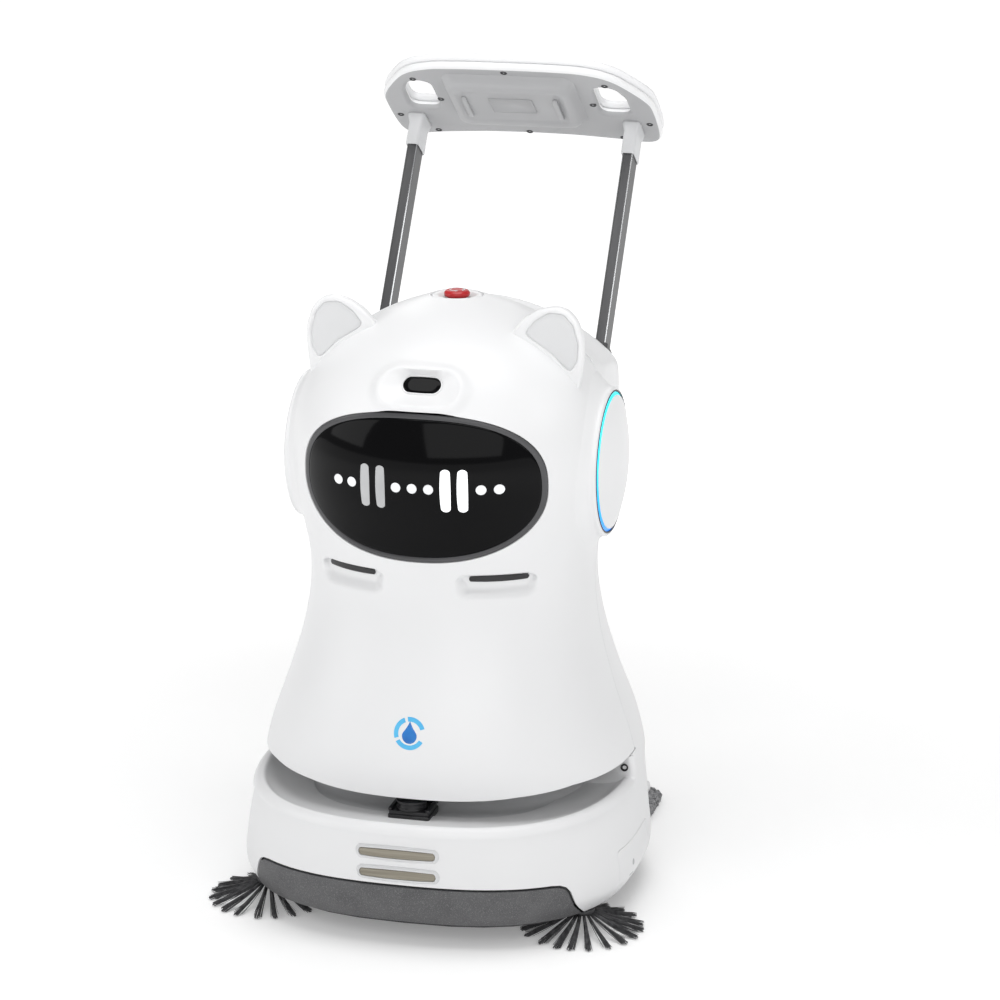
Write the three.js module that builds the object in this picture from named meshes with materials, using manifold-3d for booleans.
// A robotic floor cleaner: a round-headed body on a low base, with a telescopic handle that slides down.
// Millimetres, +Z up, -Y is the front, the origin is on the floor under the middle of the machine.
import * as THREE from "three";
import { mergeVertices } from "three/addons/utils/BufferGeometryUtils.js";
import Module from "manifold-3d";

const wasm = await Module();
wasm.setup();

// ---- driving dimensions ----
const WALL = 3.5; // thickness of the moulded shells
const GAP = 0.3; // gap between pieces that touch
const SEAM_GAP = 0.8; // open joint line between shells
const RING_POINTS = 36;
const DEG = Math.PI / 180;

// Horizontal sections of the body: height, half width, front y, back y, y of the widest point, exponent.
const BODY_ROWS = [
  [150, 231.5, -290, 146, -75, 2.45],
  [170, 231, -288, 149, -75, 2.45],
  [215, 223, -287, 149, -76, 2.4],
  [270, 204, -276, 146, -78, 2.35],
  [330, 185, -256, 143, -80, 2.3],
  [385, 175.5, -240, 142, -80, 2.25],
  [430, 176, -236, 143, -80, 2.2],
  [480, 185, -248, 143, -80, 2.15],
  [550, 195, -265, 140, -80, 2.1],
  [610, 191, -259, 128, -79, 2.1],
  [660, 170, -232, 110, -72, 2.1],
  [700, 131, -192, 78, -62, 2.1],
  [728, 82, -142, 28, -57, 2],
  [746, 33, -89, -23, -56, 2],
];
const BASE_ROWS = [
  [28, 236, -322, 128, -97, 2.6],
  [50, 248, -333, 140, -97, 2.55],
  [90, 245, -336, 143, -97, 2.55],
  [155, 231, -341, 145, -98, 2.5],
];
// Upright sections of the fairing behind the head: y, height of its crown, half width.
const FAIRING_ROWS = [
  [-28, 722, 164],
  [10, 727, 171],
  [60, 724, 172],
  [90, 713, 171],
  [112, 690, 167],
  [128, 656, 160],
  [138, 615, 150],
  [144, 570, 138],
];
const FAIRING_CROWN_RADIUS = 235;
// The fairing's side below its crown: how far it draws in, and its height.
const FAIRING_SIDE = [[96, 310], [58, 360], [24, 435], [5, 520]];

// The joint line between front shell and main shell, as y over z, and the front shell's lower rim, z over y.
const SEAM = [[-75, 183], [-75, 235], [-44, 400], [-37, 600], [-20, 760]];
const RIM = [[-300, 171], [-265, 179], [-220, 184.5], [-60, 184.5]];
const CHEEK_Y = -105; // front end of the main shell beside the mouth
const CHEEK_TOP = 183;

const DECK_TOP = 144; // floor of the mouth between base and front shell
const DECK_BOTTOM = 140;
const LIP_TOP = 155;
const TORSO = { w: 196, front: -236, back: 100, yw: -75, n: 2.4, top: 215 };

const POD = { y: -57, z: 547.5, radius: 92, rimX: 196 }; // the round pods on the sides of the head
const ESTOP = { y: -56, z: 746 };
const HANDLE_TILT = 35; // tubes lean back by this angle
const HANDLE_ORIGIN = [0, 245, 933]; // middle of the handle plate's underside
const TUBE = { x: 144, w: 54.8, sx: 14, sy: 32, wall: 2, top: -14, bottom: -371 };
const HANDLE_TRAVEL = 200;
const DRIVE = { y: 0, radius: 62, x0: 162, x1: 192 };
const CASTER = { y: -215, trail: 18, radius: 25 };
const BRUSH = { x: 200, y: -220, tip: 78 };
const LIDAR_Y = -271;
const ROLLER = { y: -112, z: 35, radius: 33, half: 148 };

// ---- solids ----
function toSolid(geometry) {
  const g = geometry.clone();
  g.deleteAttribute("normal");
  g.deleteAttribute("uv");
  const m = mergeVertices(g, 1e-4);
  return new wasm.Manifold(new wasm.Mesh({
    numProp: 3,
    vertProperties: new Float32Array(m.attributes.position.array),
    triVerts: new Uint32Array(m.index.array),
  }));
}

function toGeometry(solid) {
  const mesh = solid.getMesh();
  const g = new THREE.BufferGeometry();
  g.setAttribute("position", new THREE.BufferAttribute(new Float32Array(mesh.vertProperties), 3));
  g.setIndex(new THREE.BufferAttribute(new Uint32Array(mesh.triVerts), 1));
  g.computeVertexNormals();
  return g;
}

function unite(...solids) {
  return solids.reduce((a, b) => a.add(b));
}

function cut(solid, ...tools) {
  return tools.reduce((a, b) => a.subtract(b), solid);
}

function box(x0, x1, y0, y1, z0, z1) {
  const g = new THREE.BoxGeometry(x1 - x0, y1 - y0, z1 - z0);
  g.translate((x0 + x1) / 2, (y0 + y1) / 2, (z0 + z1) / 2);
  return toSolid(g);
}

// A lathed solid about an axis through a point; the profile is a list of [radius, height along the axis].
function lathe(profile, segments, axis, at) {
  const g = new THREE.LatheGeometry(profile.map(([r, h]) => new THREE.Vector2(r, h)), segments);
  const turn = new THREE.Quaternion().setFromUnitVectors(
    new THREE.Vector3(0, 1, 0), new THREE.Vector3(...axis).normalize());
  g.applyQuaternion(turn);
  g.translate(...at);
  return toSolid(g);
}

function cylinder(radius, length, axis, at, segments = 24) {
  return lathe([[0, 0], [radius, 0], [radius, length], [0, length]], segments, axis, at);
}

// A prism of an outline drawn in the XY plane, from z0 to z1.
function prismZ(outline, z0, z1) {
  const shape = new THREE.Shape(outline.map(([x, y]) => new THREE.Vector2(x, y)));
  const g = new THREE.ExtrudeGeometry(shape, { depth: z1 - z0, bevelEnabled: false });
  g.translate(0, 0, z0);
  return toSolid(g);
}

// A prism of an outline drawn as [x, z], running along Y from y0 to y1.
function prismY(outline, y0, y1) {
  const shape = new THREE.Shape(outline.map(([x, z]) => new THREE.Vector2(x, z)));
  const g = new THREE.ExtrudeGeometry(shape, { depth: y1 - y0, bevelEnabled: false });
  g.rotateX(Math.PI / 2);
  g.translate(0, y1, 0);
  return toSolid(g);
}

// A prism of an outline drawn as [y, z], running along X from x0 to x1.
function prismX(outline, x0, x1) {
  const shape = new THREE.Shape(outline.map(([y, z]) => new THREE.Vector2(y, z)));
  const g = new THREE.ExtrudeGeometry(shape, { depth: x1 - x0, bevelEnabled: false });
  g.applyMatrix4(new THREE.Matrix4().set(0, 0, 1, x0, 1, 0, 0, 0, 0, 1, 0, 0, 0, 0, 0, 1));
  return toSolid(g);
}

// Closes a stack of equal-length rings with flat fans at both ends.
function loft(rings) {
  const n = rings[0].length;
  const positions = rings.flat();
  const index = [];
  for (let k = 0; k + 1 < rings.length; k++) {
    for (let i = 0; i < n; i++) {
      const a = k * n + i;
      const b = k * n + (i + 1) % n;
      index.push(a, b, b + n, a, b + n, a + n);
    }
  }
  for (const [ring, start, flip] of [[rings[0], 0, true], [rings.at(-1), (rings.length - 1) * n, false]]) {
    const middle = ring.reduce((s, p) => s.map((v, i) => v + p[i] / n), [0, 0, 0]);
    const c = positions.push(middle) - 1;
    for (let i = 0; i < n; i++) {
      const a = start + i;
      const b = start + (i + 1) % n;
      index.push(c, ...(flip ? [b, a] : [a, b]));
    }
  }
  const g = new THREE.BufferGeometry();
  g.setAttribute("position", new THREE.Float32BufferAttribute(positions.flat(), 3));
  g.setIndex(index);
  return toSolid(g);
}

// Values between the rows of a table, on a smooth curve through them.
function between(rows, at) {
  const k = Math.max(0, rows.findLastIndex((r, i) => r[0] <= at && i < rows.length - 1));
  const [p, q] = [rows[k], rows[k + 1]];
  const h = q[0] - p[0];
  const t = Math.min(1, Math.max(0, (at - p[0]) / h));
  const slope = (i, c) => {
    const a = rows[Math.max(0, i - 1)];
    const b = rows[Math.min(rows.length - 1, i + 1)];
    return (b[c] - a[c]) / (b[0] - a[0]);
  };
  return p.map((v, c) => {
    const m0 = slope(k, c) * h;
    const m1 = slope(k + 1, c) * h;
    return (2 * t ** 3 - 3 * t ** 2 + 1) * v + (t ** 3 - 2 * t ** 2 + t) * m0
      + (3 * t ** 2 - 2 * t ** 3) * q[c] + (t ** 3 - t ** 2) * m1;
  });
}

function ring(z, w, front, back, yw, n, inset = 0) {
  return Array.from({ length: RING_POINTS }, (_, i) => {
    const a = (2 * Math.PI * i) / RING_POINTS;
    const power = (v) => Math.sign(v) * Math.abs(v) ** (2 / n);
    const reach = (Math.sin(a) > 0 ? back - yw : yw - front) - inset;
    return [(w - inset) * power(Math.cos(a)), yw + reach * power(Math.sin(a)), z];
  });
}

function rowsLoft(rows, heights, inset = 0, drop = 0) {
  return loft(heights.map((z, i) => {
    const [, w, front, back, yw, n] = between(rows, z);
    const last = i === heights.length - 1;
    return ring(last ? z - drop : z, w, front, back, yw, n, inset);
  }));
}

const BODY_HEIGHTS = [150, 175, 210, 260, 320, 385, 440, 495, 550, 605, 645, 680, 708, 730, 746];
const BASE_HEIGHTS = [28, 38, 50, 90, 155];

function fairingSection([y, top, w], inset) {
  const half = w - inset;
  const crown = (x) => top - inset - FAIRING_CROWN_RADIUS + Math.sqrt(FAIRING_CROWN_RADIUS ** 2 - x * x);
  const edge = crown(half) - 14;
  const side = FAIRING_SIDE.map(([draw, z]) => [half - draw, Math.min(z, edge - 40 + 0.1 * (z - 520)) + inset]);
  side.push([half, Math.min(590, edge - 10)], [half, edge]);
  const arc = [0.985, 0.9, 0.7, 0.46, 0.22].map((f) => [half * f, crown(half * f) - (f > 0.95 ? 3 : 0)]);
  const right = [...side, ...arc];
  const left = right.map(([x, z]) => [-x, z]).reverse();
  return [...right, ...left].map(([x, z]) => [x, y, z]);
}

function fairing(inset) {
  const rows = FAIRING_ROWS.map(([y, top, w], i) => [i > 4 ? y - inset : y, top, w]);
  return loft(rows.map((row) => fairingSection(row, inset)).reverse());
}

const bodyOuter = rowsLoft(BODY_ROWS, BODY_HEIGHTS);
const bodyInner = rowsLoft(BODY_ROWS, BODY_HEIGHTS, WALL, WALL);
const baseOuter = rowsLoft(BASE_ROWS, BASE_HEIGHTS);

// Everything behind the joint line; shift moves the line forward.
function behindSeam(shift) {
  const line = SEAM.map(([y, z]) => [y - shift, z]);
  return prismX([[CHEEK_Y, 100], [CHEEK_Y, CHEEK_TOP], ...line, [300, 760], [300, 100]].reverse(), -300, 300);
}

// ---- scene ----
const machine = new THREE.Group();

function add(name, solid, color, roughness, metalness = 0, parent = machine) {
  const mesh = new THREE.Mesh(toGeometry(solid), new THREE.MeshStandardMaterial({ color, roughness, metalness }));
  mesh.name = name;
  parent.add(mesh);
}

const WHITE = 0xf2f2f3;
const PALE = 0xdedfe1;
const DARK = 0x3c3d40;
const BLACK = 0x0b0b0d;
const SIDES = [["left", 1], ["right", -1]];

// ---- outlines ----
// A rounded outline: a superellipse about (cx, cz).
function oval(cx, cz, rx, rz, n, points = 24) {
  return Array.from({ length: points }, (_, i) => {
    const a = (2 * Math.PI * i) / points;
    const power = (v) => Math.sign(v) * Math.abs(v) ** (2 / n);
    return [cx + rx * power(Math.cos(a)), cz + rz * power(Math.sin(a))];
  });
}

// The face: flatter above than below, widest at its middle.
function faceOutline(inset) {
  const points = 28;
  return Array.from({ length: points }, (_, i) => {
    const a = (2 * Math.PI * i) / points;
    const up = Math.sin(a) > 0;
    const n = up ? 2.5 : 2.25;
    const power = (v) => Math.sign(v) * Math.abs(v) ** (2 / n);
    return [(151 - inset) * power(Math.cos(a)), 551 + ((up ? 90 : 94) - inset) * power(Math.sin(a))];
  });
}

// A box shape with round corners, drawn about (cx, cz).
function roundedBox(cx, cz, sx, sz, r, steps = 4) {
  const points = [];
  for (const [qx, qz, start] of [[1, 1, 0], [-1, 1, 90], [-1, -1, 180], [1, -1, 270]]) {
    for (let i = 0; i <= steps; i++) {
      const a = (start + (90 * i) / steps) * DEG;
      points.push([cx + qx * (sx / 2 - r) + r * Math.cos(a), cz + qz * (sz / 2 - r) + r * Math.sin(a)]);
    }
  }
  return points;
}

// ---- pods, ears and other features that the shells make room for ----
function podHole(side) {
  return cylinder(POD.radius + GAP, 140, [side, 0, 0], [side * 120, POD.y, POD.z], 28);
}

const NOSE = { at: [0, -226, 667], tilt: 41 }; // oval camera dish; tilt is its normal's rise over -Y

function noseFrame(solid) {
  return solid.rotate([90 - NOSE.tilt, 0, 0]).translate(NOSE.at);
}

const SLOT = { x: 91, z: 433, width: 76, height: 8 };

function slotPrism(side, grow, y0 = -260, y1 = -170) {
  return prismY(roundedBox(side * SLOT.x, SLOT.z, SLOT.width + 2 * grow, SLOT.height + 2 * grow, 3.9), y0, y1);
}

// ---- shells ----
const bumperOutline = (grow) => {
  const right = [[204 + grow, 29 - grow], [195.5 + grow, 66], [191.5 + grow, 72 + grow], [184.5, 76 + grow]];
  const left = right.map(([x, z]) => [-x, z]).reverse();
  return [...right, ...left];
};
const CONTACTS = [["upper", 122], ["lower", 95]];
const contactOutline = (z, grow) => roundedBox(0, z, 98 + 2 * grow, 15 + 2 * grow, 7.4);
const DOOR = { y0: -188, y1: -62, z0: 31, z1: 90 };
const doorOutline = (grow) => roundedBox(
  (DOOR.y0 + DOOR.y1) / 2, (DOOR.z0 + DOOR.z1) / 2,
  DOOR.y1 - DOOR.y0 + 2 * grow, DOOR.z1 - DOOR.z0 + 2 * grow, 5);

function handleFrame(solid) {
  return solid.rotate([-HANDLE_TILT, 0, 0]).translate(HANDLE_ORIGIN);
}

function tubeGuideOutline(side, grow) {
  return roundedBox(side * TUBE.x, TUBE.w, TUBE.sx + 6 + 2 * grow, TUBE.sy + 6 + 2 * grow, 4, 2);
}

function mainShell() {
  const cavity = rowsLoft(BASE_ROWS.map((r) => [r[0] - 1, ...r.slice(1)]), [27, 38, 50, 90, 154], WALL);
  const below = box(-300, 300, -400, 300, 0, DECK_BOTTOM);
  const base = cut(baseOuter, cavity.intersect(below));
  const [, w, front, back, yw, n] = BASE_ROWS[3];
  const bowl = loft([
    ring(DECK_TOP, w, front, back, yw, n, 44),
    ring(LIP_TOP - 2.5, w, front, back, yw, n, 9),
    ring(LIP_TOP + 1, w, front, back, yw, n, 7),
  ]).intersect(box(-300, 300, -400, CHEEK_Y, 100, 200));
  const torso = (inset, z0, z1) => loft([z0, z1].map((z) =>
    ring(z, TORSO.w, TORSO.front, TORSO.back, TORSO.yw, TORSO.n, inset)));
  const torsoWall = cut(torso(0, DECK_BOTTOM, TORSO.top), torso(WALL, 100, 300))
    .intersect(box(-300, 300, -400, -90, 100, 300));
  const endWalls = cut(box(-300, 300, CHEEK_Y, CHEEK_Y + WALL, DECK_BOTTOM, CHEEK_TOP - 1), torso(WALL, 100, 300))
    .intersect(rowsLoft(BODY_ROWS.map((r) => [r[0] - 20, ...r.slice(1)]), [130, 160, 190], 1));
  const outer = bodyOuter.add(fairing(0)).intersect(behindSeam(0));
  const rear = cut(outer, bodyInner, fairing(WALL));
  let shell = unite(cut(base, bowl), rear, torsoWall, endWalls);
  shell = cut(shell, torso(WALL, 100, 160), podHole(1), podHole(-1));
  shell = cut(shell, prismY(bumperOutline(SEAM_GAP), -400, -238));
  for (const [, z] of CONTACTS) shell = cut(shell, prismY(contactOutline(z, GAP), -400, -310));
  shell = cut(shell, prismX(doorOutline(SEAM_GAP), 200, 300));
  for (const [, side] of SIDES) {
    shell = cut(shell, handleFrame(prismZ(tubeGuideOutline(side, GAP), -600, -200)));
    shell = cut(shell, box(side * 80 - 16, side * 80 + 16, 100, 200, 52, 98));
    shell = cut(shell, cylinder(4.8, 20, [0, 1, 0], [side * 211, CHEEK_Y - 5, 171], 16));
  }
  return shell;
}

function frontShell() {
  const rim = prismX([...RIM, [300, 184.5], [300, 800], [-400, 800], [-400, 171]].reverse(), -300, 300);
  let shell = cut(bodyOuter, bodyInner, behindSeam(SEAM_GAP)).intersect(rim);
  shell = cut(shell, prismY(faceOutline(-GAP), -320, -150), podHole(1), podHole(-1));
  shell = cut(shell, noseFrame(prismZ(oval(0, 0, 54 + GAP, 25 + GAP, 2.6), -30, 60)));
  for (const [, side] of SIDES) shell = cut(shell, slotPrism(side, GAP));
  return cut(shell, cylinder(31 + GAP, 60, [0, 0, 1], [0, ESTOP.y, 715], 28));
}

add("main_shell", mainShell(), WHITE, 0.3);
add("front_shell", frontShell(), WHITE, 0.25);

// ---- chassis ----
function chassisTray() {
  const [, w, front, back, yw, n] = BASE_ROWS[0];
  const plate = loft([22, 27].map((z) => ring(z, w, front, back, yw, n, 12)));
  const holes = [
    cylinder(50, 20, [0, 0, 1], [0, CASTER.y, 15], 32),
    box(-ROLLER.half - 8, ROLLER.half + 8, ROLLER.y - 38, ROLLER.y + 38, 10, 40),
    ...SIDES.map(([, s]) => box(s > 0 ? 156 : -240, s > 0 ? 240 : -156, DRIVE.y - 68, DRIVE.y + 68, 10, 40)),
    ...SIDES.map(([, s]) => cylinder(50, 20, [0, 0, 1], [s * BRUSH.x, BRUSH.y, 15], 32)),
  ];
  const bridge = unite(
    box(-62, 62, CASTER.y - 20, CASTER.y + 20, 72, 78),
    ...SIDES.map(([, s]) => box(s > 0 ? 56 : -62, s > 0 ? 62 : -56, CASTER.y - 20, CASTER.y + 20, 24, 76)));
  const stemHole = cylinder(8.4, 30, [0, 0, 1], [0, CASTER.y, 60], 20);
  const motorShelves = SIDES.map(([, s]) => unite(
    box(s > 0 ? 148 : -210, s > 0 ? 210 : -148, BRUSH.y - 17, BRUSH.y + 19, 44, 48),
    box(s > 0 ? 142 : -148.5, s > 0 ? 148.5 : -142, BRUSH.y - 17, BRUSH.y + 19, 24, 48)));
  const shaftHoles = SIDES.map(([, s]) => cylinder(7, 30, [0, 0, 1], [s * BRUSH.x, BRUSH.y, 30], 16));
  return cut(unite(cut(plate, ...holes), bridge, ...motorShelves), stemHole, ...shaftHoles);
}

add("chassis_tray", chassisTray(), DARK, 0.6);

function driveUnit(name, s) {
  const at = [0, DRIVE.y, DRIVE.radius];
  const { x0, x1, radius } = DRIVE;
  const tyre = lathe([[48, x0], [radius - 5, x0], [radius, x0 + 6], [radius, x1 - 6], [radius - 5, x1], [48, x1],
    [48, x0]], 24, [s, 0, 0], at);
  const rim = lathe([[0, x0 + 8], [20, x0 + 8], [20, x0 + 12], [42, x0 + 12], [42, x0 + 2], [48 - GAP, x0 + 2],
    [48 - GAP, x1 - 2], [42, x1 - 2], [42, x1 - 10], [0, x1 - 10]], 24, [s, 0, 0], at);
  const motor = unite(
    cylinder(28, x0 - 106, [s, 0, 0], [s * 98, at[1], at[2]], 24),
    cylinder(9, 16.5, [s, 0, 0], [s * (x0 - 9), at[1], at[2]], 16),
    box(s > 0 ? 104 : -122, s > 0 ? 122 : -104, DRIVE.y - 24, DRIVE.y + 24, 27.3, 60));
  add(`drive_tyre_${name}`, tyre, 0x26272a, 0.8);
  add(`drive_rim_${name}`, rim, 0x8b8d90, 0.4, 0.6);
  add(`drive_motor_${name}`, motor, 0x55575b, 0.45, 0.6);
}

for (const [name, s] of SIDES) driveUnit(name, s);

function casterFork() {
  const y = CASTER.y;
  const plate = box(-18, 18, y - 18, y + 30, 56, 60);
  const cheeks = [-1, 1].map((s) => box(s > 0 ? 14 : -18, s > 0 ? 18 : -14, y + 6, y + 30, 18, 58));
  const stem = cylinder(8, 34, [0, 0, 1], [0, y, 58], 20);
  const collar = cylinder(13, 4, [0, 0, 1], [0, y, 78.4], 20);
  const axle = cylinder(3, 30, [1, 0, 0], [-15, y + CASTER.trail, CASTER.radius], 12);
  return unite(plate, ...cheeks, stem, collar, axle);
}

add("caster_fork", casterFork(), 0x6d6f73, 0.4, 0.6);
add("caster_wheel", lathe([[3.3, -10], [21, -10], [CASTER.radius, -6], [CASTER.radius, 6], [21, 10], [3.3, 10],
  [3.3, -10]], 20, [1, 0, 0], [0, CASTER.y + CASTER.trail, CASTER.radius]), 0x2b2c2f, 0.7);

for (const [name, s] of SIDES) {
  const at = [s * BRUSH.x, BRUSH.y, 0];
  add(`side_brush_${name}`, lathe([[0, 20], [14, 19], [22, 16], [BRUSH.tip, 1], [BRUSH.tip, 4], [24, 21], [12, 26],
    [6, 27.5], [6, 52], [0, 52]], 24, [0, 0, 1], at), 0x4a4b4e, 0.9);
  add(`brush_motor_${name}`, lathe([[8, 48.3], [17, 48.3], [17, 92], [0, 92], [0, 53], [8, 53], [8, 48.3]], 20,
    [0, 0, 1], at), 0x55575b, 0.5, 0.5);
}

add("roller_brush", unite(
  cylinder(ROLLER.radius, 2 * ROLLER.half, [1, 0, 0], [-ROLLER.half, ROLLER.y, ROLLER.z], 20),
  cylinder(5, 2 * ROLLER.half + 12, [1, 0, 0], [-ROLLER.half - 6, ROLLER.y, ROLLER.z], 12)), 0x3a5d7c, 0.9);

function suctionHood() {
  const { y, half } = ROLLER;
  const outer = prismX([[y - 42, 27.3], [y - 42, 60], [y - 24, 80], [y + 24, 80], [y + 42, 60], [y + 42, 27.3]]
    .reverse(), -half - 12, half + 12);
  const inner = prismX([[y - 39, 20], [y - 39, 59], [y - 22, 77], [y + 22, 77], [y + 39, 59], [y + 39, 20]]
    .reverse(), -half - 2, half + 2);
  const bearings = cylinder(5.3, 2 * half + 16, [1, 0, 0], [-half - 8, y, ROLLER.z], 12);
  const neck = box(-40, 40, y - 12, y + 12, 78, 149);
  const duct = box(-37, 37, y - 9, y + 9, 70, 160);
  return cut(unite(outer, neck), inner, bearings, duct);
}

add("suction_hood", suctionHood(), DARK, 0.6);
add("battery_pack", box(-92, 92, -38, 108, 27.5, 120), 0x2f3f55, 0.5);
add("dust_bin", cut(box(-120, 120, -160, -20, 150, 290), box(-116, 116, -156, -24, 154, 280),
  box(-38, 38, ROLLER.y - 10, ROLLER.y + 10, 140, 160), box(-40, 40, -30, -10, 220, 260)), 0x9aa2aa, 0.4);
add("vacuum_fan", cut(cylinder(52, 90, [0, 0, 1], [0, 40, 180], 20), cylinder(30, 40, [0, 0, 1], [0, 40, 240], 20)),
  0x3f4145, 0.5);
add("water_tank", cut(box(-110, 110, -150, -10, 300, 400), box(-106, 106, -146, -14, 304, 396),
  cylinder(14, 20, [0, 0, 1], [60, -80, 390], 16)), 0xcfd8de, 0.3);
add("control_board", box(-100, 100, -140, 0, 440, 443), 0x1f5c3a, 0.6);

// ---- base front ----
function bumper() {
  const outer = rowsLoft(BASE_ROWS, BASE_HEIGHTS, -2);
  const inner = rowsLoft(BASE_ROWS, BASE_HEIGHTS, 7);
  const band = cut(outer, inner.add(box(-300, 300, -230, 300, 0, 200)));
  return band.intersect(prismY(bumperOutline(0), -400, -246))
    .intersect(box(-300, 300, -400, -246, 29.5, 120));
}

add("front_bumper", bumper(), 0x6f7073, 0.75);
for (const [name, z] of CONTACTS) {
  const outer = rowsLoft(BASE_ROWS, BASE_HEIGHTS, -1);
  const inner = rowsLoft(BASE_ROWS, BASE_HEIGHTS, 5);
  add(`charge_contact_${name}`, cut(outer, inner).intersect(prismY(contactOutline(z, 0), -400, -300)),
    0xb9b3a4, 0.3, 0.9);
}

function serviceDoor() {
  const outer = rowsLoft(BASE_ROWS, BASE_HEIGHTS);
  const inner = rowsLoft(BASE_ROWS, BASE_HEIGHTS, WALL);
  return cut(outer, inner)
    .intersect(prismX(doorOutline(0), 200, 300))
    .intersect(box(0, 300, -300, 100, 29, 120));
}

add("service_door", serviceDoor(), WHITE, 0.3);
const lidarBody = unite(box(-28, 28, -291, -243, DECK_TOP + GAP, 157), box(-20, 20, -250, -243.5, 150, 164));
add("lidar_body", lidarBody, BLACK, 0.4);
add("lidar_turret", lathe([[0, 157.4], [17, 157.4], [19, 159], [19, 166], [17, 168.5], [0, 168.5]], 28, [0, 0, 1],
  [0, LIDAR_Y, 0]), 0x17181b, 0.3);

// ---- head ----
const faceBand = (depth, lift) =>
  cut(rowsLoft(BODY_ROWS, BODY_HEIGHTS, -lift), rowsLoft(BODY_ROWS, BODY_HEIGHTS, depth));
add("face_bezel", cut(faceBand(8, 1), prismY(faceOutline(6), -340, -100))
  .intersect(prismY(faceOutline(0), -320, -120)), 0x5a5b5f, 0.35);
add("face_screen", faceBand(5, 0.2).intersect(prismY(faceOutline(6 + GAP), -320, -120)), BLACK, 0.08);

const nosePill = (grow) => roundedBox(0, 5, 49 + 2 * grow, 22 + 2 * grow, 10.9, 6);
const cameraBezel = cut(prismZ(oval(0, 0, 54, 25, 2.6), -9.5, -1), prismZ(nosePill(GAP), -7, 20));
add("camera_bezel", noseFrame(cameraBezel), PALE, 0.35);
add("camera_window", noseFrame(prismZ(nosePill(0), -6.7, -2)), BLACK, 0.1);
function bodyOuterInset(inset) {
  return rowsLoft(BODY_ROWS, BODY_HEIGHTS, inset);
}

for (const [name, s] of SIDES) {
  add(`slot_window_${name}`, cut(bodyOuterInset(2), bodyOuterInset(7)).intersect(slotPrism(s, 0)), BLACK, 0.2);
}

// Ears: leaf-shaped plates that stand on the dome, each with a shallow panel let into its front.
const EAR = [[87, 716], [100, 733], [118, 745], [138, 750.5], [154, 747], [166, 734], [173, 714], [173, 690],
  [168, 667], [162, 650], [150, 640], [100, 690]];
const EAR_PANEL = [[101, 716], [113, 732], [131, 743.5], [149, 742], [161, 729], [167.5, 706], [166, 685],
  [157, 671], [146, 683], [133, 695], [118, 705]];
const mirrored = (outline, s) => (s > 0 ? outline : outline.map(([x, z]) => [-x, z]).reverse());

for (const [name, s] of SIDES) {
  const dome = rowsLoft(BODY_ROWS, BODY_HEIGHTS, -GAP);
  const plate = prismY(mirrored(EAR, s).reverse(), -8, 8);
  const pocket = prismY(mirrored(EAR_PANEL, s).reverse(), -9, -5);
  const panel = prismY(mirrored(EAR_PANEL, s).reverse(), -7, -5.3);
  const place = (solid) => solid.translate([0, -114, 0]);
  add(`ear_${name}`, cut(place(cut(plate, pocket)), dome), WHITE, 0.3);
  add(`ear_insert_${name}`, cut(place(panel), dome), PALE, 0.4);
}

// Round pods: a cup, a dark lining ring, a light ring and a domed cap.
for (const [name, s] of SIDES) {
  const at = [0, POD.y, POD.z];
  const spin = (profile) => lathe(profile, 28, [s, 0, 0], at);
  const { radius, rimX } = POD;
  const floor = rimX - 10; // bottom of the ring groove
  add(`side_pod_${name}`, spin([[0, rimX - 20], [radius - 2, rimX - 20], [radius, rimX - 16], [radius, rimX - 5],
    [radius - 2, rimX - 1], [89, rimX], [88.3, rimX], [88.3, floor], [0, floor]]), WHITE, 0.3);
  add(`side_ring_${name}`, spin([[86, floor + GAP], [88, floor + GAP], [88, rimX + 1], [86, rimX + 1],
    [86, floor + GAP]]), DARK, 0.4);
  add(`light_ring_${name}`, spin([[80, floor + GAP], [85.7, floor + GAP], [85.7, rimX - 0.5], [84, rimX + 0.2],
    [82.9, rimX + 1.2], [80, rimX + 1.2], [80, floor + GAP]]), 0x3fd8f5, 0.3);
  add(`side_cap_${name}`, spin([[0, rimX - 6], [79.7, rimX - 6], [79.7, rimX + 1.5], [82.6, rimX + 1.5],
    [82.3, rimX + 2.4], [68, rimX + 7], [50, rimX + 11.4], [28, rimX + 14.8], [0, rimX + 16]]), WHITE, 0.25);
}

const estopAt = [0, ESTOP.y, 0];
add("estop_collar", lathe([[0, 728], [31, 728], [31, 746.5], [29, 746.5], [24, 741], [9.3, 741], [9.3, 732], [0, 732]],
  28, [0, 0, 1], estopAt), WHITE, 0.3);
add("estop_button", lathe([[0, 737], [9, 737], [9, 746], [14, 746], [16, 748], [16, 752], [14, 754], [8, 755], [0, 755.4]],
  20, [0, 0, 1], estopAt), 0xc21f24, 0.35);

// ---- handle ----
const handle = new THREE.Group();
handle.position.set(...HANDLE_ORIGIN);
handle.rotation.x = -HANDLE_TILT * DEG;
machine.add(handle);

// Outline of the handle plate as [u, w]; w runs rearward and down the slope.
const PLATE_HALF = [[0, -100], [50, -99.5], [95, -97], [124, -88], [143, -74], [157, -54], [170, -33], [180, -11],
  [181, 20], [180, 58], [177, 84], [170, 97], [150, 100], [120, 93], [60, 86], [0, 84]];
const plateOutline = [...PLATE_HALF, ...PLATE_HALF.slice(1, -1).map(([u, w]) => [-u, w]).reverse()];
const HAND_HOLE = [[110, -52], [122, -57], [136, -50], [146, -26], [147, 12], [141, 20], [113, 20], [107, 12],
  [107, -44]];

function plateSlab(z0, z1, inset = 0) {
  const scaled = plateOutline.map(([u, w]) => [u * (1 - inset / 181), w * (1 - inset / 95)]);
  return cut(prismZ(scaled, z0, z1), ...SIDES.map(([, s]) => prismZ(mirrored(HAND_HOLE, s), z0 - 5, z1 + 5)));
}

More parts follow.
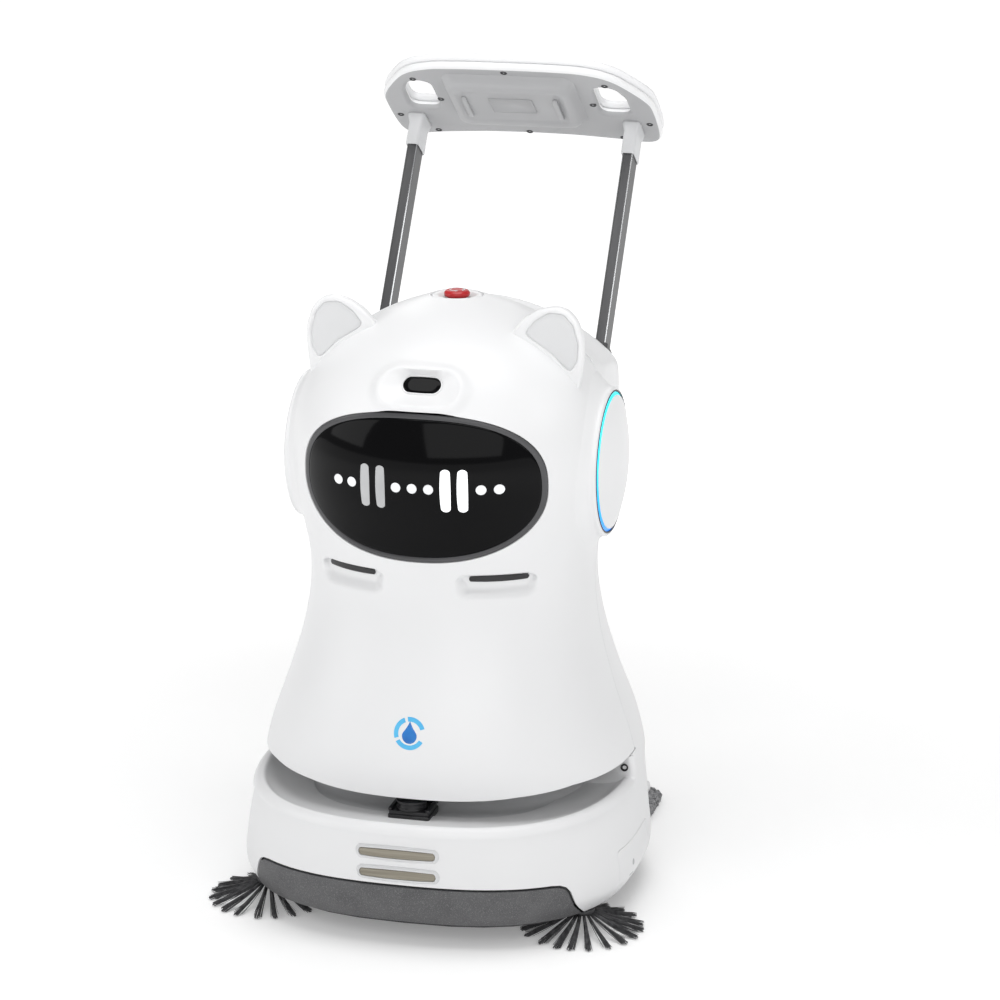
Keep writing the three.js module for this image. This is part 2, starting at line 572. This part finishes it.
const bulge = (z0, z1, inset) => loft([
  roundedBox(0, 0, 150 - inset, 130 - inset, 18).map(([u, w]) => [u, w, z0]),
  roundedBox(0, 0, 170 - inset, 151 - inset, 22).map(([u, w]) => [u, w, z1]),
]);
add("handle_under_shell", cut(unite(plateSlab(3, 11.8), plateSlab(0, 4, 6), bulge(-11, 3, 0)),
  bulge(-8, 20, 8)), PALE, 0.35, 0, handle);
const POWER_W = 70;
add("handle_top_shell", cut(unite(plateSlab(12.1, 20), plateSlab(19, 24, 5)),
  prismZ(oval(0, POWER_W, 8 + GAP, 8 + GAP, 2), 21.8, 30)), WHITE, 0.3, 0, handle);
add("control_display", prismZ(roundedBox(0, 0, 176, 112, 8), 24.3, 27), BLACK, 0.1, 0, handle);
add("power_button", prismZ(oval(0, POWER_W, 8, 8, 2), 23.2, 26), 0x9fa3a8, 0.3, 0.3, handle);
for (const [name, s] of SIDES) {
  const tubeAt = (grow, r = 2) => roundedBox(s * TUBE.x, TUBE.w, TUBE.sx + 2 * grow, TUBE.sy + 2 * grow, r, 1);
  const bore = prismZ(tubeAt(-TUBE.wall, 1), TUBE.bottom - 5, TUBE.top + 5);
  const tube = cut(prismZ(tubeAt(0), TUBE.bottom, TUBE.top), bore);
  add(`handle_tube_${name}`, tube, 0x6b6c6f, 0.4, 0.7, handle);
  add(`handle_socket_${name}`, cut(prismZ(roundedBox(s * TUBE.x, TUBE.w, 18, 38, 3, 2), -44, -GAP),
    prismZ(tubeAt(GAP), -50, -13)), PALE, 0.35, 0, handle);
  add(`tube_guide_${name}`, cut(prismZ(tubeGuideOutline(s, 0), TUBE.bottom - HANDLE_TRAVEL - 12, -308),
    prismZ(tubeAt(GAP), -700, -200)), DARK, 0.5, 0, handle);
}

// ---- mop ----
add("mop_pad", prismZ(roundedBox(0, 197, 410, 96, 22), 0.2, 18), 0x9a9b9d, 0.95);
add("mop_holder", unite(
  prismZ(roundedBox(0, 197, 380, 78, 14), 18.3, 30),
  ...SIDES.map(([, s]) => unite(box(s * 80 - 10, s * 80 + 10, 160, 175, 25, 84), box(s * 80 - 10, s * 80 + 10, 118, 175,
    66, 84)))), PALE, 0.4);

export default machine;
